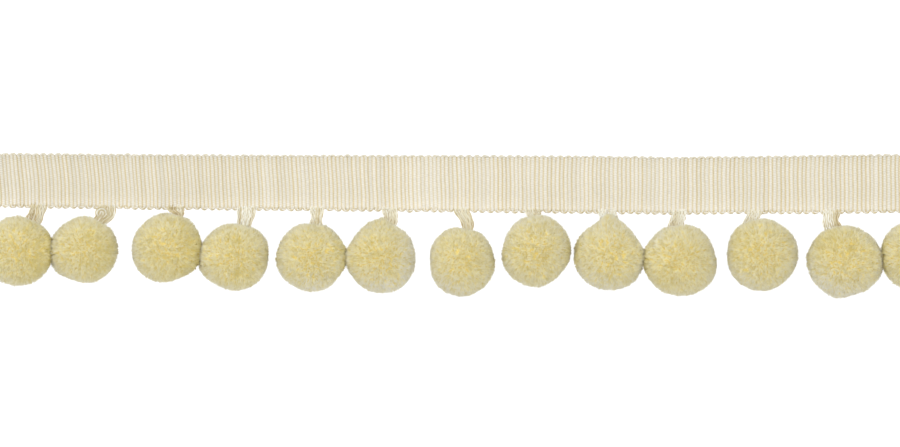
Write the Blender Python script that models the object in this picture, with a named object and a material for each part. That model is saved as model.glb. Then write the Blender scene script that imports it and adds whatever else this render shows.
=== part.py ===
"""Pompom fringe trim, a cut length that lies flat on its back.

+X runs along the braid, +Y from the pompoms towards the braid and +Z up from the surface.
The origin is the centre of the braid's flat underside. Tables and sizes are in millimetres.
"""
import math
import random
from collections import namedtuple

import bmesh
import bpy
from mathutils import Vector

MM = 0.001
SCREEN_GAMMA = 2.2
SHARP_ANGLE = 50

# Driving sizes
CUT_LEFT = -172.0
CUT_RIGHT = 172.0
GAP = 0.3

# Braid: the weft cord's ribs, and the scallops where it turns back at the edges after two ribs
RIB_HEIGHT = 1.6
GROOVE_HEIGHT = 1.05
TURN_HEIGHT = 1.4
EDGE_HEIGHT = 0.8
TURN_DEPTH = 0.9
CREST_DEPTH = 0.15
UNDERSIDE_INSET = 1.1
SHOULDER_INSET = 1.4

# A row for each station along the braid: its edges, and the lean and pitch of its ribs there
Station = namedtuple("Station", "x upper lower lean pitch")
STATIONS = [
    Station(-172.0, 11.0, -8.0, 3.6, 1.31),
    Station(-110.6, 10.6, -8.9, 3.0, 1.35),
    Station(-58.1, 10.3, -9.3, 2.8, 1.38),
    Station(-5.6, 10.2, -9.8, 1.2, 1.42),
    Station(46.9, 10.0, -10.3, -0.3, 1.45),
    Station(73.2, 9.6, -10.6, -0.1, 1.46),
    Station(99.4, 9.9, -10.3, 0.1, 1.48),
    Station(125.7, 10.3, -10.4, 0.1, 1.48),
    Station(172.0, 10.8, -9.7, 0.4, 1.47),
]

# A row for each pompom and its hanger: the ball's middle and radius, the middle and width of
# the hanger's root on the braid, where it passes under the ball's edge, and its sideways bow
Drop = namedtuple("Drop", "x y radius root_x width entry_x entry_y bow")
DROPS = [
    Drop(-156.5, -23.1, 12.35, -149.6, 5.6, -151.7, -12.4, 0.2),
    Drop(-133.4, -22.7, 11.85, -125.9, 6.5, -127.9, -12.6, 0.3),
    Drop(-104.8, -22.2, 12.45, -101.7, 5.8, -101.6, -10.3, 0.0),
    Drop(-80.9, -25.1, 12.1, -77.1, 6.0, -77.7, -14.0, 0.0),
    Drop(-54.2, -25.3, 12.4, -52.4, 4.0, -52.8, -13.8, -0.2),
    Drop(-29.8, -25.4, 12.45, -26.8, 5.3, -26.5, -12.4, 0.0),
    Drop(-1.7, -26.8, 12.1, -1.5, 5.4, 0.6, -14.9, 0.9),
    Drop(24.3, -23.2, 12.5, 23.4, 5.0, 22.9, -11.4, 0.0),
    Drop(49.9, -24.7, 12.35, 49.4, 6.2, 49.4, -12.1, 0.0),
    Drop(74.8, -26.3, 12.8, 74.5, 5.0, 73.7, -14.4, -0.2),
    Drop(103.4, -24.5, 12.8, 101.2, 4.7, 100.0, -13.1, -0.3),
    Drop(132.1, -26.7, 13.0, 128.0, 5.8, 128.5, -15.2, 0.2),
    Drop(157.9, -24.5, 12.6, 155.8, 5.4, 156.5, -13.0, 0.0),
]

# A row for each place where a ball is fuller (above zero) or flatter (below zero) than round.
# The bearing is seen from above, in degrees counter-clockwise from +X
Swell = namedtuple("Swell", "pompom bearing height spread")
SWELLS = [
    Swell(2, 215, 0.8, 18),
    Swell(2, 258, -0.7, 16),
    Swell(3, 60, 0.7, 18),
    Swell(3, 130, -0.6, 18),
    Swell(3, 210, 0.5, 18),
    Swell(3, 292, -0.9, 18),
    Swell(4, 30, 0.5, 18),
    Swell(4, 98, -0.5, 18),
    Swell(4, 200, 0.8, 18),
    Swell(5, 105, -0.5, 18),
    Swell(5, 240, -0.5, 18),
    Swell(6, 0, -0.4, 18),
    Swell(6, 100, 0.9, 14),
    Swell(7, 187, -0.9, 20),
    Swell(7, 270, 0.4, 20),
    Swell(8, 70, 0.4, 18),
    Swell(8, 150, -0.7, 18),
    Swell(8, 315, -0.7, 18),
    Swell(9, 35, -0.9, 18),
    Swell(9, 88, 2.0, 13),
    Swell(9, 310, 0.6, 18),
    Swell(10, 15, -0.5, 18),
    Swell(10, 325, 0.6, 18),
    Swell(11, 120, 0.6, 18),
    Swell(11, 180, -0.6, 18),
    Swell(12, 165, 0.6, 16),
    Swell(12, 252, 0.6, 14),
    Swell(12, 285, -0.7, 14),
    Swell(12, 345, 0.9, 16),
    Swell(13, 225, 0.8, 20),
]

# Pompoms: a ball settles on its own weight, so its middle is a little lower than its radius
SETTLE = 0.96
BALL_SUBDIVISIONS = 3
LOCKS_EACH = 23
LOCK_HEIGHT = (0.5, 1.0)
LOCK_TAPER = 0.45
LOCK_CLEARANCE = 0.3
PARTING_DEGREES = 38
DIMPLES_EACH = 8
DIMPLE_HEIGHT = 0.3
DIMPLE_SPREAD = 24
DIMPLE_RISE = (-70, 80)
LEAST_COSINE = 0.01
SEED = 51

# Hangers: a flat strap of floss in two legs, tied in the middle of the ball
STRAP_THICKNESS = 1.2
STRAP_FLOOR = 0.25
ENTRY_LIFT = 1.3
STRAP_DEPTH = 4.0
STRAP_STEPS = 6
SIDE_LEVEL = 0.5
PARTING_LEVEL = 0.6
UNDERSIDE_SHARE = 0.85


def material(name, colour, roughness):
    """A plain non-metal material; the colour is given as 8-bit screen values."""
    made = bpy.data.materials.new(name)
    made.use_nodes = True
    shader = made.node_tree.nodes["Principled BSDF"]
    linear = [(value / 255) ** SCREEN_GAMMA for value in colour]
    shader.inputs["Base Color"].default_value = (*linear, 1.0)
    shader.inputs["Roughness"].default_value = roughness
    shader.inputs["Metallic"].default_value = 0.0
    return made


def place(name, bm, location, look, parent):
    """Makes an object from a bmesh in millimetres, at a location in millimetres."""
    bmesh.ops.scale(bm, vec=(MM, MM, MM), verts=bm.verts)
    mesh = bpy.data.meshes.new(name)
    bm.to_mesh(mesh)
    bm.free()
    mesh.materials.append(look)
    mesh.shade_smooth()
    mesh.set_sharp_from_angle(angle=math.radians(SHARP_ANGLE))
    thing = bpy.data.objects.new(name, mesh)
    thing.location = [value * MM for value in location]
    thing.parent = parent
    bpy.context.scene.collection.objects.link(thing)
    return thing


def skin(bm, rings):
    """Joins rings into one body with flat caps. Seen from the far end they run counter-clockwise."""
    loops = [[bm.verts.new(point) for point in ring] for ring in rings]
    for near, far in zip(loops, loops[1:]):
        for i in range(len(near)):
            j = (i + 1) % len(near)
            bm.faces.new((near[i], near[j], far[j], far[i]))
    bm.faces.new(reversed(loops[0]))
    bm.faces.new(loops[-1])
    bmesh.ops.triangulate(bm, faces=bm.faces)


def station(x):
    """The braid's station at x, between the rows of the table."""
    for left, right in zip(STATIONS, STATIONS[1:]):
        if x <= right.x:
            break
    part = (x - left.x) / (right.x - left.x)
    return Station(*[a + (b - a) * part for a, b in zip(left, right)])


def rib_lines():
    """Where each groove and crest crosses the braid's middle, from cut to cut."""
    lines = [CUT_LEFT]
    while lines[-1] + station(lines[-1]).pitch <= CUT_RIGHT:
        pitch = station(lines[-1]).pitch
        lines += [lines[-1] + pitch / 2, lines[-1] + pitch]
    return lines


def at_hanger(x):
    """Whether the braid's lower edge is drawn in at x to make room for a hanger's root."""
    return any(abs(x - drop.root_x) < drop.width / 2 + TURN_DEPTH for drop in DROPS)


def braid_section(number, x):
    """The braid's outline across one groove (even numbers) or crest (odd ones)."""
    here = station(x)
    depths = (TURN_DEPTH, CREST_DEPTH, 0.0, CREST_DEPTH)
    upper_depth = depths[number % 4]
    lower_depth = depths[(number + 2) % 4]
    crest = number % 2 == 1
    middle = RIB_HEIGHT if crest else GROOVE_HEIGHT
    upper_height = TURN_HEIGHT if number % 4 == 2 else middle
    lower_height = TURN_HEIGHT if number % 4 == 0 else middle
    lean = math.tan(math.radians(here.lean))
    if at_hanger(x - here.lower * lean):
        lower_depth = TURN_DEPTH
    outline = [
        (here.lower + UNDERSIDE_INSET, 0.0),
        (here.upper - UNDERSIDE_INSET, 0.0),
        (here.upper - upper_depth, EDGE_HEIGHT),
        (here.upper - SHOULDER_INSET, upper_height),
        (here.lower + SHOULDER_INSET, lower_height),
        (here.lower + lower_depth, EDGE_HEIGHT),
    ]
    return [Vector((x - y * lean, y, z)) for y, z in outline]


def make_braid(look, parent):
    """The ribbed braid, flat underneath."""
    bm = bmesh.new()
    skin(bm, [braid_section(number, x) for number, x in enumerate(rib_lines())])
    return place("header", bm, (0, 0, 0), look, parent)


def middle_of(drop):
    """The middle of a pompom."""
    return Vector((drop.x, drop.y, drop.radius * SETTLE))


def bearing(degrees, rise=0.0):
    """A direction given by its bearing from above and its rise, in degrees."""
    turn, tilt = math.radians(degrees), math.radians(rise)
    return Vector((math.cos(turn) * math.cos(tilt), math.sin(turn) * math.cos(tilt), math.sin(tilt)))


def ball_swells(number):
    """The places where a ball isn't round: those of the table, and slight ones all over."""
    dice = random.Random(SEED + number)
    found = [(bearing(row.bearing), row.height, row.spread) for row in SWELLS if row.pompom == number]
    for _ in range(DIMPLES_EACH):
        way = bearing(dice.uniform(0, 360), dice.uniform(*DIMPLE_RISE))
        found.append((way, dice.uniform(-DIMPLE_HEIGHT, DIMPLE_HEIGHT), DIMPLE_SPREAD))
    return found


def ball_limits(number):
    """Flat limits of a ball, as a direction and a distance: the surface and its neighbours."""
    drop = DROPS[number - 1]
    middle = middle_of(drop)
    limits = [(Vector((0, 0, -1)), middle.z)]
    for other in DROPS[max(number - 2, 0):number + 1]:
        if other is drop:
            continue
        across = middle_of(other) - middle
        span = across.length
        share = (span ** 2 + drop.radius ** 2 - other.radius ** 2) / (2 * span)
        limits.append((across / span, share - GAP / 2))
    return limits


def reach(way, limits):
    """How far a ball may reach in a direction before it meets one of its limits."""
    return min([far / way.dot(flat) for flat, far in limits if way.dot(flat) > LEAST_COSINE], default=math.inf)


def ball_radius(way, radius, swells):
    """A ball's radius in a direction, before its limits."""
    for middle, height, spread in swells:
        radius += height * math.exp(-0.5 * (math.degrees(way.angle(middle)) / spread) ** 2)
    return radius


def raise_locks(bm, number, limits, parting):
    """Raises some faces as three-sided locks of wool, each apart from the next."""
    dice = random.Random(SEED * number)
    faces = list(bm.faces)
    dice.shuffle(faces)
    taken, chosen = set(), []
    for face in faces:
        out = face.calc_center_median()
        room = min(reach(v.co.normalized(), limits) - v.co.length for v in face.verts)
        if room < LOCK_HEIGHT[1] + LOCK_CLEARANCE or taken & set(face.verts):
            continue
        if math.degrees(out.angle(parting)) < PARTING_DEGREES or len(chosen) == LOCKS_EACH:
            continue
        chosen.append(face)
        taken |= set(face.verts)
    for face in bmesh.ops.extrude_discrete_faces(bm, faces=chosen)["faces"]:
        out = face.calc_center_median()
        tip = out + out.normalized() * dice.uniform(*LOCK_HEIGHT)
        for vert in face.verts:
            vert.co = tip + (vert.co - out) * LOCK_TAPER


def make_ball(number, look, parent, strap):
    """One pompom, level where it rests, flattened where it meets a neighbour."""
    drop = DROPS[number - 1]
    swells = ball_swells(number)
    limits = ball_limits(number)
    bm = bmesh.new()
    bmesh.ops.create_icosphere(bm, subdivisions=BALL_SUBDIVISIONS, radius=1.0)
    for vert in bm.verts:
        way = vert.co.normalized()
        vert.co = way * min(ball_radius(way, drop.radius, swells), reach(way, limits))
    raise_locks(bm, number, limits, strap[-1] - middle_of(drop))
    bmesh.ops.triangulate(bm, faces=bm.faces)
    return place(f"pompom_{number:02d}", bm, middle_of(drop), look, parent)


def strap_line(drop):
    """A hanger's underside from its root, under the ball's edge and towards the ball's middle."""
    middle = middle_of(drop)
    root = Vector((drop.root_x, station(drop.root_x).lower + TURN_DEPTH - GAP, STRAP_FLOOR))
    entry = Vector((drop.entry_x, drop.entry_y, STRAP_FLOOR + ENTRY_LIFT))
    inward = (middle - entry).normalized()
    outside = (entry - middle).length - drop.radius
    end = entry + inward * (max(outside, 0.0) + STRAP_DEPTH)
    line = []
    for step in range(STRAP_STEPS + 1):
        part = step / STRAP_STEPS
        point = root * (1 - part) ** 2 + entry * 2 * part * (1 - part) + end * part ** 2
        point.x += drop.bow * math.sin(math.pi * part)
        line.append(point)
    return line


def strap_rings(line, width, outline):
    """Upright sections along a hanger; the outline gives shares of width, and heights."""
    return [[point + Vector((share * width, 0, height)) for share, height in outline] for point in line]


def make_strap(number, look, parent, line):
    """One hanger: two legs of floss side by side, with a parting between them."""
    drop = DROPS[number - 1]
    outline = [
        (-UNDERSIDE_SHARE / 2, 0.0),
        (UNDERSIDE_SHARE / 2, 0.0),
        (0.5, SIDE_LEVEL * STRAP_THICKNESS),
        (0.25, STRAP_THICKNESS),
        (0.0, PARTING_LEVEL * STRAP_THICKNESS),
        (-0.25, STRAP_THICKNESS),
        (-0.5, SIDE_LEVEL * STRAP_THICKNESS),
    ]
    bm = bmesh.new()
    skin(bm, strap_rings([point - line[0] for point in line], drop.width, outline))
    return place(f"hanger_{number:02d}", bm, line[0], look, parent)


def make_slot(number, look, parent, line, ball):
    """Parts the wool of a ball around its hanger."""
    width = DROPS[number - 1].width + 2 * GAP
    longer = line[:-1] + [line[-1] + (line[-1] - line[-2]).normalized() * GAP]
    outline = [
        (-0.5, -GAP),
        (0.5, -GAP),
        (0.5, STRAP_THICKNESS + GAP),
        (-0.5, STRAP_THICKNESS + GAP),
    ]
    bm = bmesh.new()
    skin(bm, strap_rings(longer, width, outline))
    cutter = place(f"slot_{number:02d}", bm, (0, 0, 0), look, parent)
    cutter.hide_render = True
    cutter.display_type = "WIRE"
    cut = ball.modifiers.new("slot", "BOOLEAN")
    cut.operation = "DIFFERENCE"
    cut.solver = "EXACT"
    cut.object = cutter


def main():
    """Builds the whole trim."""
    for thing in list(bpy.data.objects):
        bpy.data.objects.remove(thing, do_unlink=True)
    trim = bpy.data.objects.new("trim", None)
    bpy.context.scene.collection.objects.link(trim)
    braid_look = material("braid cotton", (232, 222, 196), 0.6)
    floss_look = material("hanger floss", (224, 212, 182), 0.45)
    wool_look = material("pompom wool", (211, 196, 138), 0.95)
    make_braid(braid_look, trim)
    for number, drop in enumerate(DROPS, start=1):
        line = strap_line(drop)
        make_strap(number, floss_look, trim, line)
        ball = make_ball(number, wool_look, trim, line)
        make_slot(number, wool_look, trim, line, ball)


main()
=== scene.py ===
"""Dresses the pompom fringe trim: ribbed braid, hangers of silky floss and cut wool pompoms.

Tables and sizes are in millimetres and become metres when a mesh is made, and angles are in
degrees. +X runs along the braid, +Y from the pompoms towards the braid and +Z up from the surface
that the trim lies on.
"""
import math
import random
from collections import namedtuple

import bpy
import numpy as np
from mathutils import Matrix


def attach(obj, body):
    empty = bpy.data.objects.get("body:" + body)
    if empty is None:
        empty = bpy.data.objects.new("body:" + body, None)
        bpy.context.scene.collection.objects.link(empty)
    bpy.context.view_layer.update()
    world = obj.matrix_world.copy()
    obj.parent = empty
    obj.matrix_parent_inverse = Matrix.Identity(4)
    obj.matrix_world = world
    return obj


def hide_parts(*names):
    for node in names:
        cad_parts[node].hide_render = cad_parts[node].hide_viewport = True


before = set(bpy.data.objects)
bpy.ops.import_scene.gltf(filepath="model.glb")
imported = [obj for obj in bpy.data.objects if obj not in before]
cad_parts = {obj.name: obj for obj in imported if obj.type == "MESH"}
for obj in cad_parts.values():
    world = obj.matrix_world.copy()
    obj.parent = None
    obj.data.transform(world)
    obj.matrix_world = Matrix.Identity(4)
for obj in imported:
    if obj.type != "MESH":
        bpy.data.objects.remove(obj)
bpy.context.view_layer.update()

MM = 0.001
SEED = 51
GAMMA = 2.2

# Braid, as in the model: its cut ends, the heights of its ribs, grooves and underside, and the half
# width at which its ribs' bow is measured
CUT_LEFT = -172.0
CUT_RIGHT = 172.0
RIB_HEIGHT = 1.6
GROOVE_HEIGHT = 1.15
UNDER_RISE = 0.2
BRAID_HALF_WIDTH = 9.5

# The cloth ends inside the scallops, where its top rolls down to a rounded side
UPPER_INSET = 0.55
LOWER_INSET = 0.85
ROLL_DROP = 0.28
ROLL_REACH = 0.9
SIDE_OUT = 0.12
CORNER_OUT = 0.05
CORNER_IN = 0.3
CORNER_RISE = 0.2

# Ribs: the points across each, the shape of its crest, and how the ribs differ and wander. The
# wander drifts from one to the next, and has a new start after so many ribs
RIB_COLUMNS = 4
RIB_SHARPNESS = 0.7
RIB_UNEVENNESS = 0.08
RIB_JITTER = 0.05
RIB_WANDER = 0.08
WANDER_LENGTH = 17.0
DRIFT_RIBS = 9

# Warp: its small steps over each rib, half a step further on in every other rib
WARP_PITCH = 0.82
WARP_ROWS = 4
WARP_RELIEF = 0.07

# How straw-coloured the grooves are, partly the yarn's own colour and partly painted shade, and the
# braid's tone: it differs from rib to rib and along the warp's steps, is paler towards the lower edge
# with painted light where the pompoms shade it, and is duller towards the upper one
STRAW_RANGE = (0.65, 1.1)
BRAID_TONE_SPREAD = 0.05
WARP_TONE = 0.19
LOWER_PAINTED_LIGHT = 0.6
LOWER_REACH = 2.6
UPPER_DULLER = 0.24
UPPER_REACH = 2.0

# A row for each station along the braid: its edges, the lean, bow and pitch of its ribs, and its
# tone from 0 to 1
Station = namedtuple("Station", "x upper lower lean bow pitch tone")
STATIONS = [
    Station(-172.0, 11.0, -8.0, 3.9, -0.32, 1.31, 0.48),
    Station(-110.6, 10.6, -8.9, 3.2, -0.20, 1.35, 0.50),
    Station(-58.1, 10.3, -9.3, 2.8, -0.04, 1.38, 0.55),
    Station(-5.6, 10.2, -9.8, 1.4, -0.04, 1.42, 0.61),
    Station(46.9, 10.0, -10.3, -0.6, 0.10, 1.45, 0.60),
    Station(73.2, 9.6, -10.6, -0.3, 0.10, 1.46, 0.58),
    Station(99.4, 9.9, -10.3, -0.1, 0.09, 1.48, 0.56),
    Station(125.7, 10.3, -10.4, 0.0, 0.10, 1.48, 0.56),
    Station(172.0, 10.8, -9.7, 0.3, 0.15, 1.47, 0.56),
]

# Weft cord: it turns back at both edges of the braid, and gives way to the hangers' roots. Its
# turns differ a little in reach, height and tone
CORD_TWIST = 1.9
CORD_GROOVE = 0.4
CORD_SIDES = 10
CORD_LEG = 0.9
ARC_POINTS = 9
TURN_OVERLAP = 0.4
TURN_SCATTER = 0.06
TURN_LIFT = 0.05
TURN_TONE_SPREAD = 0.12

# A row for each edge: the way out of the braid, the cord's radius and height, how far its turn
# stands out, the first rib that it joins to the next, how far it lies outside the station's edge,
# how wide it bulges, how straw-coloured it is between its plies, partly as painted shade, how pale it
# is, and how much painted shade darkens it between its plies
Edge = namedtuple("Edge", "name way radius height reach first_rib outset bulge straw tone dull")
EDGES = [
    Edge("upper_turns", 1, 0.52, 0.95, 0.4, 0, 0.22, 1.32, 0.6, 0.42, 0.1),
    Edge("lower_turns", -1, 0.56, 1.05, 0.62, 1, 0.14, 1.25, 1.0, 1.02, 0.6),
]

# A row for each pompom: its middle and radius
Ball = namedtuple("Ball", "x y radius")
BALLS = [
    Ball(-156.5, -23.1, 12.35),
    Ball(-133.4, -22.7, 11.85),
    Ball(-104.8, -22.2, 12.45),
    Ball(-80.9, -25.1, 12.1),
    Ball(-54.2, -25.3, 12.4),
    Ball(-29.8, -25.4, 12.45),
    Ball(-1.7, -26.8, 12.1),
    Ball(24.3, -23.2, 12.5),
    Ball(49.9, -24.7, 12.35),
    Ball(74.8, -26.3, 12.8),
    Ball(103.4, -24.5, 12.8),
    Ball(132.1, -26.7, 13.0),
    Ball(157.9, -24.5, 12.6),
]

# Each ball has settled: its middle lies this share of its radius above the surface
SETTLE = 0.96

# Two rows for each hanger, one for each leg: its left and right where it leaves the braid, in the
# middle and where it enters the wool, how far down its left and right enter, how far it rises over
# the other leg, and how much painted highlight its floss gets
Leg = namedtuple(
    "Leg", "hanger left right mid_left mid_right end_left end_right left_y right_y rise shine"
)
LEGS = [
    Leg(1, -152.4, -149.8, -153.1, -150.0, -154.1, -150.7, -11.3, -12.8, 0.1, 0.1),
    Leg(1, -150.0, -146.9, -150.2, -148.0, -151.2, -149.0, -12.8, -13.8, 0, 0.6),
    Leg(2, -129.0, -126.0, -129.2, -124.9, -130.2, -127.4, -11.5, -12.8, 0.3, 0.6),
    Leg(2, -126.3, -122.7, -125.5, -123.1, -128.1, -125.7, -12.4, -13.6, 0, 0.45),
    Leg(3, -104.6, -101.5, -104.1, -100.4, -103.2, -99.6, -10.0, -10.8, 0.3, 0.05),
    Leg(3, -101.7, -98.7, -101.1, -98.8, -101.1, -98.8, -10.6, -10.6, 0, 0.4),
    Leg(4, -80.3, -76.6, -80.3, -77.0, -80.3, -77.7, -13.7, -14.0, 0, 0.75),
    Leg(4, -77.0, -73.7, -77.0, -74.4, -77.9, -75.5, -14.0, -14.5, 0.15, 0.9),
    Leg(5, -54.7, -52.1, -54.2, -52.2, -54.9, -52.5, -13.9, -13.9, 0, 0.75),
    Leg(5, -52.3, -49.8, -52.4, -50.5, -52.7, -50.4, -14.0, -14.0, 0, 0.55),
    Leg(6, -29.5, -26.2, -29.0, -26.2, -28.8, -26.2, -11.7, -12.2, 0, 0.5),
    Leg(6, -26.6, -24.1, -26.4, -24.1, -26.6, -24.3, -12.4, -13.6, 0.1, 0.7),
    Leg(7, -4.3, -1.0, -2.3, 0.3, -1.4, 0.9, -14.8, -15.2, 0, 0.4),
    Leg(7, -1.6, 1.2, 0.0, 2.5, 0.5, 2.4, -15.2, -15.7, 0, 0.55),
    Leg(8, 20.6, 23.8, 21.0, 23.4, 21.2, 23.8, -11.1, -11.1, 0.2, 0.7),
    Leg(8, 23.4, 26.2, 23.1, 25.9, 22.8, 25.5, -10.8, -10.8, 0, 0.2),
    Leg(9, 46.3, 49.0, 46.7, 49.0, 46.8, 49.3, -12.4, -11.7, 0, 0.9),
    Leg(9, 50.0, 52.4, 49.9, 52.7, 49.7, 53.1, -11.0, -11.4, 0, 0.85),
    Leg(10, 71.8, 74.9, 71.2, 74.0, 70.4, 73.8, -14.6, -14.2, 0, 0.55),
    Leg(10, 74.2, 77.0, 74.0, 76.7, 73.3, 76.2, -14.0, -13.4, 0.2, 0.65),
    Leg(11, 98.3, 101.1, 97.4, 100.4, 96.5, 99.8, -14.2, -13.1, 0, 0.6),
    Leg(11, 100.8, 103.5, 100.3, 102.9, 99.6, 102.5, -12.9, -12.1, 0.2, 0.85),
    Leg(12, 124.8, 128.4, 124.5, 128.6, 125.1, 129.3, -16.0, -14.9, 0.2, 0.85),
    Leg(12, 127.9, 130.7, 128.1, 130.2, 128.6, 131.4, -14.8, -14.9, 0, 0.2),
    Leg(13, 152.9, 155.9, 153.1, 155.9, 153.3, 156.1, -13.2, -13.2, 0, 0.6),
    Leg(13, 155.6, 158.5, 155.8, 158.2, 155.9, 158.4, -13.2, -13.2, 0.1, 0.7),
]

# Floss: the threads of each leg lie in two layers, the lower one half a thread aside
THREADS_ACROSS = 6
THREAD_LAYERS = 2
LAYER_DROP = 0.3
THREAD_RADIUS = 0.19
THREAD_SIDES = 6
THREAD_POINTS = 17
THREAD_SCATTER = 0.015

# A thread's course: from its root in the braid, over the braid's edge and an arch, into the wool
ROOT_LENGTH = (0.9, 1.7)
ROOT_TAIL = 0.5
ROOT_HEIGHT = 0.9
ROOT_DIP = 0.1
LEAVE_INSET = 0.2
LEAVE_HEIGHT = 1.55
ARCH_RISE = 0.25
ENTRY_LIFT = 2.3
INSIDE_LENGTH = 4.5

# A thread's crimp: its size and how much of that is up and down, its turns in radians from end to
# end, and how much it differs from the next thread's
THREAD_CRIMP = 0.13
CRIMP_LIFT = 0.6
CRIMP_TURNS = (20, 30)
CRIMP_SPREAD = 0.6

# How bright the threads of a layer are, with painted highlight and painted shade: at the least,
# what painted highlight a shining leg adds, and how they differ. The under layer, which shows
# between the upper threads, gets painted shade.
# They are shaded towards the wool, along the part of this course that is above zero
Bright = namedtuple("Bright", "least shine spread")
UPPER_BRIGHT = Bright(0.35, 0.6, 0.18)
UNDER_BRIGHT = Bright(0.1, 0.25, 0.06)
ENTRY_SHADE = 0.3
SHADE_COURSE = (-1.2, 1.1)

# A row for each curl of floss in a hanger: its middle, the radii of its inner and outer thread, how
# high it lies, the bearings of its two ends, and its number of threads
Curl = namedtuple("Curl", "hanger x y inner outer height start end threads")
CURLS = [
    Curl(2, -127.5, -10.0, 0.55, 2.1, 2.2, 215, -75, 4),
]
CURL_DROP = 0.3
CURL_SLOPE = 0.15
# The curl's threads take turns between painted highlight and painted shade
CURL_TONES = (0.95, 0.3)
CURL_TONE_SPREAD = 0.05

# A row for each place where a ball is fuller (above zero) or flatter (below zero) than round.
# The bearing is seen from above, counter-clockwise from +X
Swell = namedtuple("Swell", "pompom bearing height spread")
SWELLS = [
    Swell(1, 105, -0.35, 25),
    Swell(2, 125, -0.5, 20),
    Swell(2, 215, 0.8, 18),
    Swell(2, 248, -0.8, 16),
    Swell(3, 60, 0.7, 18),
    Swell(3, 130, -0.6, 18),
    Swell(3, 185, -0.5, 35),
    Swell(3, 210, 0.4, 18),
    Swell(3, 330, 0.4, 16),
    Swell(3, 292, -0.9, 18),
    Swell(4, 30, 0.5, 18),
    Swell(4, 98, -0.5, 18),
    Swell(4, 140, -0.6, 20),
    Swell(4, 200, 0.9, 18),
    Swell(4, 245, -0.6, 16),
    Swell(4, 0, -0.35, 15),
    Swell(5, 0, -0.1, 12),
    Swell(5, 30, -0.6, 16),
    Swell(5, 105, -0.3, 18),
    Swell(5, 152, -0.6, 18),
    Swell(5, 330, -0.4, 16),
    Swell(5, 240, -0.5, 18),
    Swell(6, 0, -0.2, 18),
    Swell(6, 84, 2.2, 10),
    Swell(6, 108, 0.5, 12),
    Swell(6, 150, -1.0, 20),
    Swell(6, 180, -0.2, 12),
    Swell(6, 215, -0.7, 18),
    Swell(6, 300, 0.5, 18),
    Swell(7, 20, -0.5, 20),
    Swell(7, 182, -1.3, 22),
    Swell(7, 270, 0.4, 20),
    Swell(8, 70, 0.4, 18),
    Swell(8, 93, 0.9, 10),
    Swell(8, 160, -1.1, 22),
    Swell(8, 278, 0.45, 20),
    Swell(8, 315, -0.6, 18),
    Swell(9, 356, -0.25, 12),
    Swell(9, 32, -1.1, 18),
    Swell(9, 122, -0.4, 14),
    Swell(9, 90, 3.7, 11),
    Swell(9, 310, 0.6, 18),
    Swell(10, 18, -0.7, 18),
    Swell(10, 150, -0.4, 16),
    Swell(10, 325, 0.6, 18),
    Swell(11, 62, -0.5, 18),
    Swell(11, 120, 0.6, 18),
    Swell(11, 320, -0.5, 20),
    Swell(11, 180, -0.6, 18),
    Swell(12, 72, -0.5, 20),
    Swell(12, 150, -0.5, 14),
    Swell(12, 172, 0.3, 16),
    Swell(12, 238, -0.3, 12),
    Swell(12, 256, 0.6, 14),
    Swell(12, 285, -0.7, 14),
    Swell(12, 345, 0.9, 16),
    Swell(13, 152, 0.6, 16),
    Swell(13, 225, 0.8, 20),
]

# Each ball is also drawn in where its hanger enters, and has broad, shallow dimples and bumps
ENTRY_DIMPLE = -0.7
ENTRY_SPREAD = 9
DIMPLES_EACH = 8
DIMPLE_HEIGHT = 0.3
DIMPLE_SPREAD = 24
DIMPLE_RISE = (-70, 80)

# A row for each cleft between tufts that shows from above: its bearing, its rise above the level
# of the ball's middle, its height (below zero) and its spread. The wool in it is darker with painted
# shade
Cleft = namedtuple("Cleft", "pompom bearing rise height spread")
CLEFTS = [
    Cleft(2, 69, 59, -1.2, 6),
    Cleft(4, 83, 58, -1.4, 7),
    Cleft(4, -81, 55, -1.4, 7),
    Cleft(6, -57, 51, -1.4, 7),
    Cleft(12, 63, 67, -1.0, 6),
]
CLEFT_PAINTED_SHADE = 1.6

# A row for each patch of wool that is paler (above zero) or darker (below zero) than the rest
Patch = namedtuple("Patch", "pompom bearing paler")
PATCHES = [
    Patch(1, 30, -0.8),
    Patch(1, 320, -1.4),
    Patch(2, 0, -0.8),
    Patch(2, 180, 0.5),
    Patch(2, 320, -0.6),
    Patch(3, 30, -0.8),
    Patch(3, 280, -0.6),
    Patch(3, 335, -0.8),
    Patch(4, 330, -0.5),
    Patch(5, 270, 1.0),
    Patch(6, 10, 0.9),
    Patch(6, 270, 1.2),
    Patch(6, 325, 0.6),
    Patch(7, 250, 1.1),
    Patch(8, 95, 0.5),
    Patch(9, 75, 0.5),
    Patch(9, 255, 0.9),
    Patch(10, 140, 0.7),
    Patch(10, 205, -0.5),
    Patch(11, 160, -0.8),
    Patch(11, 240, 0.5),
    Patch(12, 135, -0.9),
    Patch(12, 225, 1.1),
    Patch(12, 280, 0.8),
]
PATCH_RISE = 30
PATCH_SPREAD = 24

# What a patch, or a cleft's painted shade, does to the depth of the yarn ends' colour, and to their
# tone where it is darker
PALER_DEPTH = 0.2
DARKER_DEPTH = 0.09
DARKER_TONE = 0.4

# A row for each pair of balls that touch: the one in front, and the one that it presses into.
# Both are fuller above the contact, and the one in front overlaps the one behind
Contact = namedtuple("Contact", "front behind")
CONTACTS = [
    Contact(2, 1),
    Contact(4, 3),
    Contact(6, 5),
    Contact(9, 10),
    Contact(12, 13),
]
FRONT_OVERLAP = 3.0
FRONT_SWELL = 2.7
FRONT_RISE = 40
BEHIND_OVERLAP = 1.0
BEHIND_SWELL = 2.3
BEHIND_RISE = 35
CONTACT_SPREAD = 17

# Directions that run along a limit never meet it: these keep them from dividing by nothing
LEAST_SLOPE = 0.01
LEAST_SQUARE = 1e-6

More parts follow.
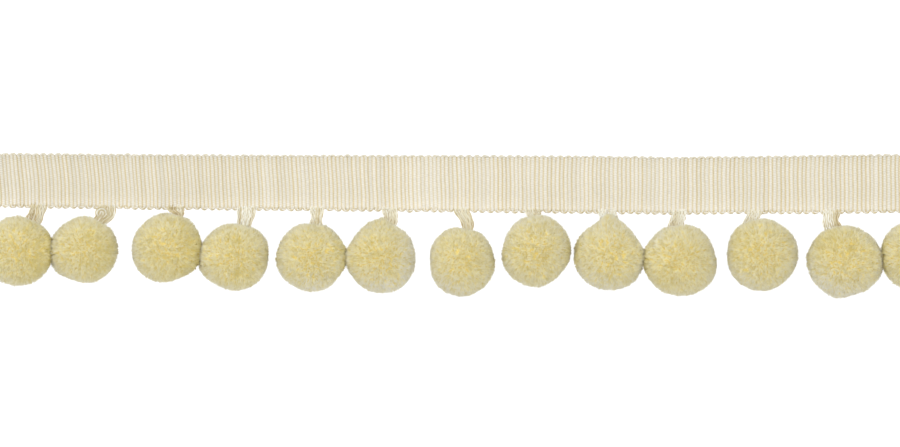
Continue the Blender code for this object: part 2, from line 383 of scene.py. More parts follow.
# Wool: each tuft is a bunch of fine yarn ends that lean together
WOOL_SEED = 7 * SEED
TUFTS = 2000
ENDS_EACH = 7
TUFT_SCATTER = 0.014
TUFT_LEAN = 0.028
TUFT_UNEVENNESS = 0.14
TUFT_TONES = (0.0, 0.9)
END_SCATTER = 0.022
TIP_SPREAD = 0.9
END_LEAN = 0.02
END_UNEVENNESS = 0.16
END_WIDTH = 0.38
END_WIDTH_RANGE = (0.8, 1.2)
END_TONES = (-0.25, 0.25)
ROOT_SHARE = 0.86

# Loose fibres among the tufts, and the ball's middle under them
FIBRES = 1400
FIBRE_WIDTH = 0.07
FIBRE_LENGTH = (0.0, 0.6)
FIBRE_LEAN = 0.12
FIBRE_TONES = (0.6, 1)
CORE_SHARE = 0.89
CORE_RINGS = 20
CORE_SPOKES = 32
CORE_TONE = 0.5

# The wool's colour goes by depth, from root to cut end: painted shade makes it deeper towards the
# roots, where the ends shade one another, and painted sheen makes it paler at the cut ends. It is
# deeper with painted shade close to a neighbour
ROOT_DEPTH = 0.2
TIP_DEPTH = 0.8
NEAR_REACH = 4.5
NEAR_PAINTED_SHADE = 0.65

# Colours on the screen, each with its place from 0 to 1: the braid from rib to groove, the floss
# from dull to bright, and the wool from its roots to its cut ends
WHITE = (255, 255, 255)
SHEEN_COLOUR = (246, 242, 226)
# The groove's end is partly the yarn's own straw colour and partly painted shade
BRAID_COLOURS = [
    (0.0, (234, 231, 225)),
    (0.3, (233, 227, 211)),
    (0.6, (228, 214, 181)),
    (1.0, (223, 204, 158)),
]
# Low tones also carry the painted shade between the cord's plies
BRAID_TONES = [
    (0.0, (188, 190, 186)),
    (0.3, (224, 222, 213)),
    (1.0, WHITE),
]
# The dull end stands for painted shade and the bright end for painted highlight
FLOSS_COLOURS = [
    (0.0, (186, 163, 114)),
    (0.3, (214, 199, 155)),
    (0.6, (233, 226, 200)),
    (1.0, (251, 250, 240)),
]
# The roots' end stands for painted shade, the cut ends' end for painted sheen
WOOL_COLOURS = [
    (0.0, (238, 217, 134)),
    (0.2, (254, 238, 155)),
    (0.48, (255, 244, 185)),
    (0.8, (255, 250, 226)),
    (1.0, (250, 250, 247)),
]
WOOL_TONES = [
    (0.0, (236, 229, 194)),
    (0.5, (251, 249, 244)),
    (1.0, WHITE),
]

# Light table, in metres: the camera sees it plain white, and it glows a little more on the trim
TABLE_HALF = 2.0
TABLE_DROP = 0.0002
TABLE_COLOUR = (0.15, 0.15, 0.15, 1.0)
GLOW_SEEN = 1.0
GLOW_ON_TRIM = 1.05

# Two round soft lamps, in metres, watts and degrees, and the white room's brightness
Lamp = namedtuple("Lamp", "name size power place turn")
LAMPS = [
    Lamp("soft key", 0.9, 3.0, (-0.75, 0.75, 1.2), (-41, 0, 45)),
    Lamp("soft top", 3.0, 70.0, (0, 0, 6.5), (0, 0, 0)),
]
ROOM_BRIGHTNESS = 1.11

# Camera, straight above: the photograph's frame is 315 mm wide
VIEW_WIDTH = 315.0
VIEW_X = -5.6
VIEW_Y = -13.65
CAMERA_HEIGHT = 6000.0
CAMERA_RANGE = 100000.0
SENSOR = 36.0


def station(x):
    """The braid's station at x, between the rows of the table."""
    rows = np.array(STATIONS)
    return Station(*[np.interp(x, rows[:, 0], rows[:, i]) for i in range(len(Station._fields))])


def middle_of(ball):
    """The middle of a pompom."""
    return np.array([ball.x, ball.y, ball.radius * SETTLE])


def screen(*colour):
    """A colour given as 8-bit screen values, as the shader's linear ones."""
    return (*[(value / 255) ** GAMMA for value in colour], 1.0)


def unit(rows):
    """Each row as a direction of length one."""
    return rows / np.linalg.norm(rows, axis=-1, keepdims=True)


def make_piece(name, points, faces, look, values):
    """A smooth mesh piece that rides on the trim; values holds a number for each point."""
    mesh = bpy.data.meshes.new(name)
    mesh.from_pydata((np.asarray(points) * MM).tolist(), [], faces)
    for key, numbers in values.items():
        mesh.attributes.new(key, "FLOAT", "POINT").data.foreach_set("value", np.ravel(numbers))
    mesh.materials.append(look)
    mesh.shade_smooth()
    piece = bpy.data.objects.new(name, mesh)
    bpy.context.scene.collection.objects.link(piece)
    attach(piece, "root")
    return piece


def ring_faces(rings, around, start=0):
    """Faces of a body made of closed rings of points, with a flat cap at each end."""
    near = start + np.arange(rings - 1)[:, None] * around + np.arange(around)
    turned = np.roll(near, -1, axis=1)
    sides = np.stack([near, turned, turned + around, near + around], axis=-1).reshape(-1, 4).tolist()
    first = list(range(start + around - 1, start - 1, -1))
    last = list(range(start + (rings - 1) * around, start + rings * around))
    return sides + [first, last]


def tubes(paths, radii):
    """Points and faces of many tubes; radii holds a radius for each tube, point and side."""
    count, points, sides = radii.shape
    along = unit(np.gradient(paths, axis=1))
    side = unit(np.cross(along, (0.0, 0.0, 1.0)))
    up = np.cross(side, along)
    angle = np.arange(sides) * 2 * np.pi / sides
    spokes = side[:, :, None] * np.cos(angle)[:, None] + up[:, :, None] * np.sin(angle)[:, None]
    places = (paths[:, :, None] + spokes * radii[..., None]).reshape(-1, 3)
    faces = []
    for number in range(count):
        faces += ring_faces(points, sides, number * points * sides)
    return places, faces


def smooth_path(knots, points):
    """A smooth curve through knots, for many curves at once."""
    before = 2 * knots[:, :1] - knots[:, 1:2]
    after = 2 * knots[:, -1:] - knots[:, -2:-1]
    ends = np.concatenate([before, knots, after], axis=1)
    place = np.linspace(0, knots.shape[1] - 1, points)
    index = np.minimum(place.astype(int), knots.shape[1] - 2)
    part = (place - index)[None, :, None]
    a, b, c, d = (ends[:, index + shift] for shift in range(4))
    return 0.5 * (2 * b + (c - a) * part + (2 * a - 5 * b + 4 * c - d) * part ** 2
                  + (3 * b - a - 3 * c + d) * part ** 3)


def principled(name, roughness, sheen, sheen_roughness):
    """A material with its shader, and the shader's links."""
    look = bpy.data.materials.new(name)
    look.use_nodes = True
    tree = look.node_tree
    shader = tree.nodes["Principled BSDF"]
    shader.inputs["Roughness"].default_value = roughness
    shader.inputs["Sheen Weight"].default_value = sheen
    shader.inputs["Sheen Roughness"].default_value = sheen_roughness
    shader.inputs["Sheen Tint"].default_value = screen(*SHEEN_COLOUR)
    return look, tree, shader


def attribute(tree, name):
    """The output of a number stored on the mesh's points."""
    node = tree.nodes.new("ShaderNodeAttribute")
    node.attribute_name = name
    return node.outputs["Fac"]


def ramp(tree, factor, stops):
    """A colour ramp; stops are (place, colour)."""
    node = tree.nodes.new("ShaderNodeValToRGB")
    while len(node.color_ramp.elements) < len(stops):
        node.color_ramp.elements.new(0.5)
    for element, (place, colour) in zip(node.color_ramp.elements, stops):
        element.position = place
        element.color = screen(*colour)
    tree.links.new(factor, node.inputs["Fac"])
    return node.outputs["Color"]


def multiply(tree, first, second):
    """Two colours multiplied together."""
    node = tree.nodes.new("ShaderNodeMix")
    node.data_type = "RGBA"
    node.blend_type = "MULTIPLY"
    node.inputs["Factor"].default_value = 1.0
    tree.links.new(first, node.inputs["A"])
    tree.links.new(second, node.inputs["B"])
    return node.outputs["Result"]


def grain(tree, scale, detail, low):
    """Fine noise in the piece's own space: its height, and a grey between low and white."""
    place = tree.nodes.new("ShaderNodeTexCoord")
    noise = tree.nodes.new("ShaderNodeTexNoise")
    noise.inputs["Scale"].default_value = scale
    noise.inputs["Detail"].default_value = detail
    tree.links.new(place.outputs["Object"], noise.inputs["Vector"])
    # Nearly all of the noise lies between 0.3 and 0.7
    grey = [(0.3, (low, low, low)), (0.7, WHITE)]
    return noise.outputs["Fac"], ramp(tree, noise.outputs["Fac"], grey)


def roughen(tree, shader, height, strength, distance):
    """Raises the surface's fine relief from a height."""
    bump = tree.nodes.new("ShaderNodeBump")
    bump.inputs["Strength"].default_value = strength
    bump.inputs["Distance"].default_value = distance
    tree.links.new(height, bump.inputs["Height"])
    tree.links.new(bump.outputs["Normal"], shader.inputs["Normal"])


def braid_material():
    """Ivory ribs with straw-coloured grooves between them, partly the yarn's own colour and partly
    painted shade, and the fine grain of the warp.
    """
    look, tree, shader = principled("braid cotton", roughness=0.55, sheen=0.2, sheen_roughness=0.4)
    body = ramp(tree, attribute(tree, "groove"), BRAID_COLOURS)
    tone = ramp(tree, attribute(tree, "tone"), BRAID_TONES)
    height, fine = grain(tree, scale=1400.0, detail=3.0, low=242)
    tree.links.new(multiply(tree, multiply(tree, body, tone), fine), shader.inputs["Base Color"])
    roughen(tree, shader, height, strength=0.2, distance=0.0001)
    return look


def floss_material():
    """Silky ivory floss, shinier than the braid, with painted highlight and painted shade in its tone."""
    look, tree, shader = principled("hanger floss", roughness=0.35, sheen=0.2, sheen_roughness=0.3)
    tone = ramp(tree, attribute(tree, "tone"), FLOSS_COLOURS)
    height, fine = grain(tree, scale=2200.0, detail=2.0, low=240)
    tree.links.new(multiply(tree, tone, fine), shader.inputs["Base Color"])
    roughen(tree, shader, height, strength=0.2, distance=0.00005)
    return look


def wool_material():
    """Straw-coloured wool: painted shade deeper towards the roots, painted sheen paler at the cut ends.
    """
    look, tree, shader = principled("pompom wool", roughness=0.9, sheen=0.5, sheen_roughness=0.5)
    depth = ramp(tree, attribute(tree, "depth"), WOOL_COLOURS)
    tone = ramp(tree, attribute(tree, "tone"), WOOL_TONES)
    height, fine = grain(tree, scale=1800.0, detail=3.0, low=248)
    tree.links.new(multiply(tree, multiply(tree, depth, tone), fine), shader.inputs["Base Color"])
    roughen(tree, shader, height, strength=0.2, distance=0.0001)
    return look


def rib_lines():
    """Where each groove of the braid crosses its middle, from cut to cut."""
    lines = [CUT_LEFT]
    while lines[-1] + station(lines[-1]).pitch <= CUT_RIGHT:
        lines.append(lines[-1] + float(station(lines[-1]).pitch))
    return np.array(lines)


def leaned(x, y):
    """Where a line across the braid lies at y, for a line that crosses the middle at x."""
    here = station(x)
    return x - y * np.tan(np.radians(here.lean)) + here.bow * (y / BRAID_HALF_WIDTH) ** 2


# The cloth's columns of points: where each lies along the braid, its rib, how far up that rib's
# crest it is, how full the rib is, how straw-coloured the groove is, partly as painted shade, and
# where the rib's wander starts
Columns = namedtuple("Columns", "x rib crest swell straw drift")


def rib_columns(dice):
    """The columns of points across the cloth, several to each rib."""
    grooves = rib_lines()
    ribs = len(grooves) - 1
    grooves[1:-1] += dice.normal(0, RIB_JITTER, ribs - 1)
    phase = np.arange(ribs * RIB_COLUMNS + 1) / RIB_COLUMNS
    rib = np.minimum(phase.astype(int), ribs - 1)
    swell = 1 + dice.normal(0, RIB_UNEVENNESS, ribs)[rib]
    straw = dice.uniform(*STRAW_RANGE, ribs + 1)[np.round(phase).astype(int)]
    knots = DRIFT_RIBS * np.arange(ribs // DRIFT_RIBS + 2)
    return Columns(
        x=np.interp(phase, np.arange(ribs + 1), grooves),
        rib=rib,
        crest=np.sin(np.pi * (phase % 1.0)) ** RIB_SHARPNESS,
        swell=swell,
        straw=straw,
        drift=np.interp(phase, knots, dice.uniform(0, 2 * np.pi, len(knots))),
    )


def make_cloth(look):
    """The woven cover: raised ribs across the braid, and the warp's small steps over them."""
    dice = np.random.default_rng(SEED)
    x, rib, crest, swell, straw, drift = rib_columns(dice)
    here = station(x)
    low = here.lower + LOWER_INSET
    high = here.upper - UPPER_INSET
    rows = int(round((high - low).mean() / WARP_PITCH)) * WARP_ROWS
    top_y = low[:, None] + (high - low)[:, None] * np.linspace(1, 0, rows)
    step = np.cos(2 * np.pi * (np.arange(rows) / WARP_ROWS + 0.5 * (rib % 2)[:, None]))
    rise = (RIB_HEIGHT - GROOVE_HEIGHT) * crest * swell
    from_edge = np.minimum(top_y - low[:, None], high[:, None] - top_y)
    roll = ROLL_DROP * np.clip(1 - from_edge / ROLL_REACH, 0, 1) ** 2
    top_z = GROOVE_HEIGHT + rise[:, None] - roll + WARP_RELIEF * crest[:, None] * step

    under = UNDER_RISE * (1 - crest)
    side = 0.5 * GROOVE_HEIGHT + under
    below = [
        (low - CORNER_OUT, under + CORNER_RISE),
        (low + CORNER_IN, under),
        ((low + high) / 2, under),
        (high - CORNER_IN, under),
        (high + CORNER_OUT, under + CORNER_RISE),
        (high + SIDE_OUT, side),
    ]
    y = np.column_stack([row[0] for row in below] + [top_y, low - SIDE_OUT])
    z = np.column_stack([row[1] for row in below] + [top_z, side])
    bend = RIB_WANDER * np.sin(2 * np.pi * y / WANDER_LENGTH + drift[:, None])
    places = np.stack([leaned(x[:, None], y) + bend, y, z], axis=-1)

    around = y.shape[1]
    # Painted shade: the grooves' straw colour is partly the yarn's own and partly shade painted into them
    groove = np.repeat(((1 - crest) * straw)[:, None], around, axis=1)
    rib_tone = here.tone + dice.normal(0, BRAID_TONE_SPREAD, rib[-1] + 1)[rib]
    tone = np.repeat(rib_tone[:, None], around, axis=1)
    # Painted light: the tone is paler towards the lower edge, where the pompoms shade the braid
    paler = LOWER_PAINTED_LIGHT * np.exp(-(top_y - low[:, None]) / LOWER_REACH)
    duller = UPPER_DULLER * np.exp(-(high[:, None] - top_y) / UPPER_REACH)
    tone[:, len(below):len(below) + rows] += WARP_TONE * step + paler - duller
    values = {"groove": np.clip(groove, 0, 1), "tone": np.clip(tone, 0, 1)}
    faces = ring_faces(len(x), around)
    cloth = make_piece("braid_cloth", places.reshape(-1, 3), faces, look, values)
    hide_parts("header")
    return cloth


def at_hanger(x):
    """Whether a turn of the cord at x gives way to a hanger's root."""
    return any(leg.left + TURN_OVERLAP < x < leg.right - TURN_OVERLAP for leg in LEGS)


def turn_path(middle, outer, half, edge):
    """One turn of the cord: out of one rib, round outside the braid's edge and into the next."""
    arc = np.linspace(np.pi, 0, ARC_POINTS)
    bulged = half * edge.bulge
    widening = 0.5 * (half + bulged)
    leg_out = [-CORD_LEG, -CORD_LEG / 2]
    x = np.concatenate([[-half, -widening], bulged * np.cos(arc), [widening, half]])
    out = np.concatenate([leg_out, edge.reach * np.sin(arc), leg_out[::-1]])
    y = outer + edge.way * (out - edge.reach - edge.radius + edge.outset)
    return np.stack([leaned(middle, outer) + x, y, np.full_like(x, edge.height)], axis=-1)


def make_turns(look, edge):
    """The weft cord's turns along one edge, each joining two ribs."""
    crests = (rib_lines()[1:] + rib_lines()[:-1]) / 2
    paths = []
    for first, second in zip(crests[edge.first_rib::2], crests[edge.first_rib + 1::2]):
        middle = (first + second) / 2
        here = station(middle)
        outer = here.upper if edge.way > 0 else here.lower
        if edge.way < 0 and at_hanger(leaned(middle, outer)):
            continue
        paths.append(turn_path(middle, outer, (second - first) / 2, edge))
    paths = np.array(paths)
    dice = np.random.default_rng(SEED + edge.way)
    paths[:, 2:-2, 1] += edge.way * dice.normal(0, TURN_SCATTER, len(paths))[:, None]
    paths[:, :, 2] += dice.normal(0, TURN_LIFT, len(paths))[:, None]

    length = np.cumsum(np.linalg.norm(np.diff(paths, axis=1, prepend=paths[:, :1]), axis=-1), axis=1)
    angle = np.arange(CORD_SIDES) * 2 * np.pi / CORD_SIDES
    start = dice.uniform(0, 2 * np.pi, len(paths))[:, None]
    ply = np.abs(np.cos(angle - (start + edge.way * length * np.pi / CORD_TWIST)[..., None]))
    points, faces = tubes(paths, edge.radius * (1 - CORD_GROOVE * (1 - ply)))
    tone = edge.tone + dice.uniform(-TURN_TONE_SPREAD, 0, len(paths))
    # Painted shade between the plies: straw colour and a darker tone where the twist sinks in
    values = {
        "groove": edge.straw * (1 - ply),
        "tone": tone[:, None, None] - edge.dull * (1 - ply),
    }
    return make_piece(edge.name, points, faces, look, values)


def leg_threads(leg, ball, dice):
    """The paths of one leg's threads, and how bright each is."""
    across = np.tile((np.arange(THREADS_ACROSS) + 0.5) / THREADS_ACROSS, THREAD_LAYERS)
    layer = np.repeat(np.arange(THREAD_LAYERS), THREADS_ACROSS)
    aside = 0.5 * layer / THREADS_ACROSS
    across = np.clip(across + aside + dice.normal(0, THREAD_SCATTER, len(across)), 0, 1)
    root = leg.left + (leg.right - leg.left) * across
    edge = station(root).lower
    middle_x = leg.mid_left + (leg.mid_right - leg.mid_left) * across
    entry_x = leg.end_left + (leg.end_right - leg.end_left) * across
    entry_y = leg.left_y + (leg.right_y - leg.left_y) * across
    level = LEAVE_HEIGHT - LAYER_DROP * layer
    entry = np.stack([entry_x, entry_y, ENTRY_LIFT - LAYER_DROP * layer + 0.5 * leg.rise], axis=-1)
    start = dice.uniform(*ROOT_LENGTH, len(across))
    knots = np.stack([
        np.stack([root, edge + start + ROOT_TAIL, np.full_like(root, ROOT_HEIGHT)], axis=-1),
        np.stack([root, edge + start, level - ROOT_DIP], axis=-1),
        np.stack([root, edge + LEAVE_INSET, level], axis=-1),
        np.stack([middle_x, (edge + entry_y) / 2, level + ARCH_RISE + leg.rise], axis=-1),
        entry,
        entry + unit(middle_of(ball) - entry) * INSIDE_LENGTH,
    ], axis=1)
    paths = smooth_path(knots, THREAD_POINTS)
    wave = np.linspace(0, 1, THREAD_POINTS) * dice.uniform(*CRIMP_TURNS, len(across))[:, None]
    phase = np.pi * np.arange(len(across))[:, None] + dice.normal(0, CRIMP_SPREAD, len(across))[:, None]
    paths[..., 0] += THREAD_CRIMP * np.sin(wave + phase)
    paths[..., 2] += CRIMP_LIFT * THREAD_CRIMP * np.cos(wave + phase)
    # Painted highlight on shining legs, and painted shade on the under layer
    upper, under = (
        row.least + row.shine * leg.shine + dice.normal(0, row.spread, len(across))
        for row in (UPPER_BRIGHT, UNDER_BRIGHT)
    )
    shade = ENTRY_SHADE * np.clip(np.linspace(*SHADE_COURSE, THREAD_POINTS), 0, 1)
    return paths, np.clip(np.where(layer == 0, upper, under)[:, None] - shade, 0, 1)


def curl_threads(curl, dice):
    """The paths of a curl's threads, one inside the other, and how bright each is."""
    radius = np.linspace(curl.inner, curl.outer, curl.threads)[:, None]
    turn = np.radians(np.linspace(curl.start, curl.end, THREAD_POINTS))
    height = np.linspace(curl.height, curl.height - CURL_DROP, THREAD_POINTS)
    paths = np.stack(np.broadcast_arrays(
        curl.x + radius * np.cos(turn),
        curl.y + radius * np.sin(turn),
        height + CURL_SLOPE * radius,
    ), axis=-1)
    bright = np.where(np.arange(curl.threads) % 2 == 0, *CURL_TONES)[:, None]
    return paths, np.clip(bright + dice.normal(0, CURL_TONE_SPREAD, paths.shape[:2]), 0, 1)


def make_hanger(number, look):
    """One hanger: two legs of floss threads from the braid's lower edge into the wool."""
    dice = np.random.default_rng(SEED * number)
    legs = [leg_threads(leg, BALLS[number - 1], dice) for leg in LEGS if leg.hanger == number]
    legs += [curl_threads(curl, dice) for curl in CURLS if curl.hanger == number]
    paths = np.concatenate([leg[0] for leg in legs])
    bright = np.concatenate([leg[1] for leg in legs])
    radii = np.full((len(paths), THREAD_POINTS, THREAD_SIDES), THREAD_RADIUS)
    points, faces = tubes(paths, radii)
    tone = np.repeat(bright.ravel(), THREAD_SIDES)
    piece = make_piece(f"hanger_threads_{number:02d}", points, faces, look, {"tone": tone})
    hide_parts(f"hanger_{number:02d}")
    return piece


def bearing(degrees, rise=0.0):
    """A direction given by its bearing from above and its rise, in degrees."""
    turn, tilt = math.radians(degrees), math.radians(rise)
    return np.array([math.cos(turn) * math.cos(tilt), math.sin(turn) * math.cos(tilt), math.sin(tilt)])


def bearing_to(ball, x, y):
    """The bearing from a ball's middle to a place, in degrees."""
    return math.degrees(math.atan2(y - ball.y, x - ball.x))


def hill(ways, middle, spread):
    """A smooth hill over directions: 1 at its middle, and falling off over its spread."""
    off = np.degrees(np.arccos(np.clip(ways @ middle, -1, 1)))
    return np.exp(-0.5 * (off / spread) ** 2)


def touching(number):
    """The pompoms that one touches, and whether it lies in front of each."""
    found = []
    for contact in CONTACTS:
        if number == contact.front:
            found.append((contact.behind, True))
        if number == contact.behind:
            found.append((contact.front, False))
    return found


def ball_reach(number, ways):
    """How far a pompom's wool reaches in each direction from its middle."""
    ball = BALLS[number - 1]
    hills = [(bearing(row.bearing), row.height, row.spread) for row in SWELLS if row.pompom == number]
    for cleft in CLEFTS:
        if cleft.pompom == number:
            hills.append((bearing(cleft.bearing, cleft.rise), cleft.height, cleft.spread))
    for leg in LEGS:
        if leg.hanger == number:
            towards = bearing_to(ball, (leg.end_left + leg.end_right) / 2, (leg.left_y + leg.right_y) / 2)
            hills.append((bearing(towards), ENTRY_DIMPLE, ENTRY_SPREAD))
    # The dice start afresh in each call, so that a ball keeps its dimples
    dice = random.Random(SEED + number)
    for _ in range(DIMPLES_EACH):
        way = bearing(dice.uniform(0, 360), dice.uniform(*DIMPLE_RISE))
        hills.append((way, dice.uniform(-DIMPLE_HEIGHT, DIMPLE_HEIGHT), DIMPLE_SPREAD))
    for other_number, in_front in touching(number):
        other = BALLS[other_number - 1]
        height, rise = (FRONT_SWELL, FRONT_RISE) if in_front else (BEHIND_SWELL, BEHIND_RISE)
        hills.append((bearing(bearing_to(ball, other.x, other.y), rise), height, CONTACT_SPREAD))
    reach = np.full(len(ways), ball.radius)
    for middle, height, spread in hills:
        reach += height * hill(ways, middle, spread)
    return reach


def plane_limit(ways, facing, far):
    """How far each direction reaches before a plane that lies far away in the way it faces."""
    along = ways @ facing
    return np.where(along > LEAST_SLOPE, far / np.maximum(along, LEAST_SLOPE), np.inf)


def outline_limit(ways, across, radius):
    """How far each direction reaches, seen from above, before a circle that lies across from it."""
    flat_ways = ways[:, :2]
    square = np.maximum((flat_ways ** 2).sum(axis=1), LEAST_SQUARE)
    half = -flat_ways @ across[:2]
    rest = half ** 2 - square * (across[:2] @ across[:2] - radius ** 2)
    meets = (rest > 0) & (half < 0)
    return np.where(meets, (-half - np.sqrt(np.maximum(rest, 0))) / square, np.inf)


def ball_limit(number, ways):
    """How far each direction may reach before the surface or a neighbour stops it."""
    ball = BALLS[number - 1]
    limit = plane_limit(ways, np.array([0.0, 0.0, -1.0]), middle_of(ball)[2])
    for other_number, in_front in touching(number):
        other = BALLS[other_number - 1]
        across = middle_of(other) - middle_of(ball)
        if in_front:
            span = np.linalg.norm(across)
            contact = (span ** 2 + ball.radius ** 2 - other.radius ** 2) / (2 * span)
            stop = plane_limit(ways, across / span, contact + FRONT_OVERLAP)
        else:
            stop = outline_limit(ways, across, other.radius - BEHIND_OVERLAP)
        limit = np.minimum(limit, stop)
    return limit


def wool_reach(number, ways, extra=0.0):
    """How far a pompom's wool reaches in each direction, or as far as it may."""
    return np.minimum(ball_reach(number, ways) + extra, ball_limit(number, ways))


def beside(number, places):
    """How near each place on a ball is to wool that shades it: 1 where they touch, 0 well apart."""
    ball = BALLS[number - 1]
    near = np.zeros(len(places))
    over = [BALLS[other_number - 1] for other_number, in_front in touching(number) if in_front]
    for other in BALLS[max(number - 2, 0):number + 1]:
        if other is not ball and other not in over:
            gap = np.linalg.norm(places + middle_of(ball) - middle_of(other), axis=1) - other.radius
            near = np.maximum(near, np.clip(1 - gap / NEAR_REACH, 0, 1))
    return near


def paler_in(number, ways):
    """How much paler (above zero) or darker a ball's wool is in each direction, with painted shade in
    clefts.
    """
    paler = np.zeros(len(ways))
    for patch in PATCHES:
        if patch.pompom == number:
            paler += patch.paler * hill(ways, bearing(patch.bearing, PATCH_RISE), PATCH_SPREAD)
    for cleft in CLEFTS:
        if cleft.pompom == number:
            # Painted shade in the clefts
            paler -= CLEFT_PAINTED_SHADE * hill(ways, bearing(cleft.bearing, cleft.rise), cleft.spread)
    return paler


def even_ways(count):
    """Directions spread evenly over a ball."""
    place = np.arange(count) + 0.5
    rise = 1 - 2 * place / count
    turn = np.pi * (1 + 5 ** 0.5) * place
    flat = np.sqrt(1 - rise ** 2)
    return np.stack([flat * np.cos(turn), flat * np.sin(turn), rise], axis=-1)


def make_core(number):
    """Points and faces of a ball's middle, under the yarn ends."""
    rise = np.linspace(-np.pi / 2, np.pi / 2, CORE_RINGS + 2)[1:-1]
    turn = np.arange(CORE_SPOKES) * 2 * np.pi / CORE_SPOKES
    ways = np.stack([
        np.cos(rise)[:, None] * np.cos(turn),
        np.cos(rise)[:, None] * np.sin(turn),
        np.repeat(np.sin(rise)[:, None], CORE_SPOKES, axis=1),
    ], axis=-1).reshape(-1, 3)
    return ways * (wool_reach(number, ways) * CORE_SHARE)[:, None], ring_faces(CORE_RINGS, CORE_SPOKES)


def spikes(roots, tips, width, dice):
    """Points and faces of many thin three-sided spikes, each at a random turn."""
    axis = unit(tips - roots)
    side = unit(np.cross(axis, dice.normal(0, 1, axis.shape)))
    up = np.cross(axis, side)
    angle = np.arange(3) * 2 * np.pi / 3
    spokes = side[:, None] * np.cos(angle)[:, None] + up[:, None] * np.sin(angle)[:, None]
    corners = roots[:, None] + spokes * np.reshape(width, (-1, 1, 1))
    points = np.concatenate([corners, tips[:, None]], axis=1).reshape(-1, 3)
    first = np.arange(len(tips))[:, None, None] * 4
    faces = (first + np.array([(0, 1, 3), (1, 2, 3), (2, 0, 3)])).reshape(-1, 3).tolist()
    return points, faces


# Yarn ends or fibres: the directions of their roots and tips, how far they stand out of the ball,
# their width and their tone
Yarn = namedtuple("Yarn", "ways tip_ways extra width tone")


def yarn_ends(dice):
    """The cut ends of every tuft."""
    tufts = unit(even_ways(TUFTS) + dice.normal(0, TUFT_SCATTER, (TUFTS, 3)))
    leans = dice.normal(0, TUFT_LEAN, (TUFTS, 3))
    lengths = dice.normal(0, TUFT_UNEVENNESS, TUFTS)
    tones = dice.uniform(*TUFT_TONES, TUFTS)
    owner = np.repeat(np.arange(TUFTS), ENDS_EACH)
    spread = dice.normal(0, END_SCATTER, (len(owner), 3))
    end_lean = dice.normal(0, END_LEAN, spread.shape)
    tip_ways = unit(tufts[owner] + spread * TIP_SPREAD + leans[owner] + end_lean)
    extra = lengths[owner] + dice.normal(0, END_UNEVENNESS, len(owner))
    width = END_WIDTH * dice.uniform(*END_WIDTH_RANGE, len(owner))
    tone = np.clip(tones[owner] + dice.uniform(*END_TONES, len(owner)), 0, 1)
    return Yarn(unit(tufts[owner] + spread), tip_ways, extra, width, tone)


def loose_fibres(dice):
    """Single fibres all over the ball."""
    ways = unit(dice.normal(0, 1, (FIBRES, 3)))
    tip_ways = unit(ways + dice.normal(0, FIBRE_LEAN, ways.shape))
    extra = dice.uniform(*FIBRE_LENGTH, FIBRES)
    tone = dice.uniform(*FIBRE_TONES, FIBRES)
    return Yarn(ways, tip_ways, extra, np.full(FIBRES, FIBRE_WIDTH), tone)


def make_wool(number, look):
    """One pompom: tufts of cut yarn ends that stand out of a ball on every side."""
    dice = np.random.default_rng(WOOL_SEED + number)
    yarn = Yarn(*[np.concatenate(pair) for pair in zip(yarn_ends(dice), loose_fibres(dice))])
    roots = yarn.ways * (ROOT_SHARE * wool_reach(number, yarn.ways))[:, None]
    tips = yarn.tip_ways * wool_reach(number, yarn.tip_ways, yarn.extra)[:, None]
    points, faces = spikes(roots, tips, yarn.width, dice)
    paler = paler_in(number, yarn.tip_ways)
    tone = np.clip(yarn.tone + DARKER_TONE * np.minimum(paler, 0), 0, 1)
    # Painted shade deepens the colour at the roots and painted sheen pales it at the cut ends
    depth = np.tile([ROOT_DEPTH, ROOT_DEPTH, ROOT_DEPTH, TIP_DEPTH], (len(tips), 1))
    patch_depth = np.where(paler > 0, PALER_DEPTH, DARKER_DEPTH) * paler
    # Painted shade on the wool that a neighbour shades, besides each patch's colour
    depth[:, 3] += patch_depth - NEAR_PAINTED_SHADE * beside(number, tips)

    core_points, core_faces = make_core(number)
    faces += [[corner + len(points) for corner in face] for face in core_faces]
    every = np.concatenate([points, core_points]) + middle_of(BALLS[number - 1])
    # The core takes the roots' painted shade
    values = {
        "tone": np.concatenate([np.repeat(tone, 4), np.full(len(core_points), CORE_TONE)]),
        "depth": np.concatenate([depth.ravel(), np.zeros(len(core_points))]),
    }
    piece = make_piece(f"pompom_wool_{number:02d}", every, faces, look, values)
    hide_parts(f"pompom_{number:02d}")
    return piece


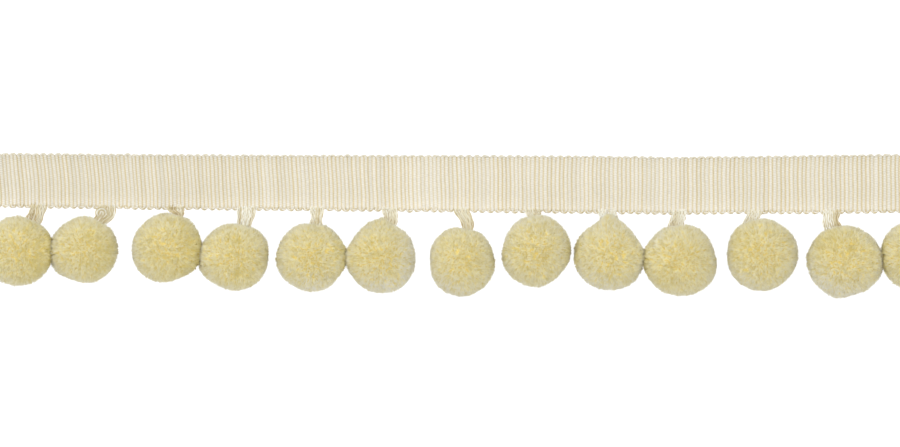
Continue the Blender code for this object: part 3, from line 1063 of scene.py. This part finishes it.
def make_table():
    """A white light table under the trim: plain white to the camera, and a soft glow on the trim."""
    corners = [(-1, -1), (1, -1), (1, 1), (-1, 1)]
    mesh = bpy.data.meshes.new("floor")
    mesh.from_pydata([(x * TABLE_HALF, y * TABLE_HALF, 0) for x, y in corners], [], [(0, 1, 2, 3)])
    floor = bpy.data.objects.new("floor", mesh)
    floor.location.z = -TABLE_DROP
    bpy.context.scene.collection.objects.link(floor)
    look = bpy.data.materials.new("light table")
    look.use_nodes = True
    tree = look.node_tree
    shader = tree.nodes["Principled BSDF"]
    shader.inputs["Base Color"].default_value = TABLE_COLOUR
    shader.inputs["Roughness"].default_value = 1.0
    shader.inputs["Specular IOR Level"].default_value = 0.0
    shader.inputs["Emission Color"].default_value = screen(*WHITE)
    ray = tree.nodes.new("ShaderNodeLightPath")
    glow = tree.nodes.new("ShaderNodeMapRange")
    glow.inputs["To Min"].default_value = GLOW_ON_TRIM
    glow.inputs["To Max"].default_value = GLOW_SEEN
    tree.links.new(ray.outputs["Is Camera Ray"], glow.inputs["Value"])
    tree.links.new(glow.outputs["Result"], shader.inputs["Emission Strength"])
    mesh.materials.append(look)


def make_lights():
    """A soft light from the upper left and one from above, in a white room."""
    for row in LAMPS:
        light = bpy.data.lights.new(row.name, "AREA")
        light.shape = "DISK"
        light.size = row.size
        light.energy = row.power
        lamp = bpy.data.objects.new(row.name, light)
        lamp.location = row.place
        lamp.rotation_euler = [math.radians(angle) for angle in row.turn]
        bpy.context.scene.collection.objects.link(lamp)
    world = bpy.data.worlds.new("white room")
    world.use_nodes = True
    background = world.node_tree.nodes["Background"]
    background.inputs["Color"].default_value = screen(*WHITE)
    background.inputs["Strength"].default_value = ROOM_BRIGHTNESS
    bpy.context.scene.world = world


def make_camera():
    """A long lens straight above the trim, framed as in the photograph."""
    lens = bpy.data.cameras.new("camera")
    lens.sensor_width = SENSOR
    lens.lens = SENSOR * CAMERA_HEIGHT / VIEW_WIDTH
    lens.clip_end = CAMERA_RANGE * MM
    camera = bpy.data.objects.new("camera", lens)
    camera.location = (VIEW_X * MM, VIEW_Y * MM, CAMERA_HEIGHT * MM)
    bpy.context.scene.collection.objects.link(camera)
    bpy.context.scene.camera = camera
    bpy.context.scene.view_settings.view_transform = "Standard"


def main():
    """Dresses every part of the trim."""
    make_table()
    make_lights()
    make_camera()
    braid = braid_material()
    floss = floss_material()
    wool = wool_material()
    cloth = make_cloth(braid)
    trims = [make_turns(braid, edge) for edge in EDGES]
    for number in range(1, len(BALLS) + 1):
        trims.append(make_hanger(number, floss))
        trims.append(make_wool(number, wool))


main()
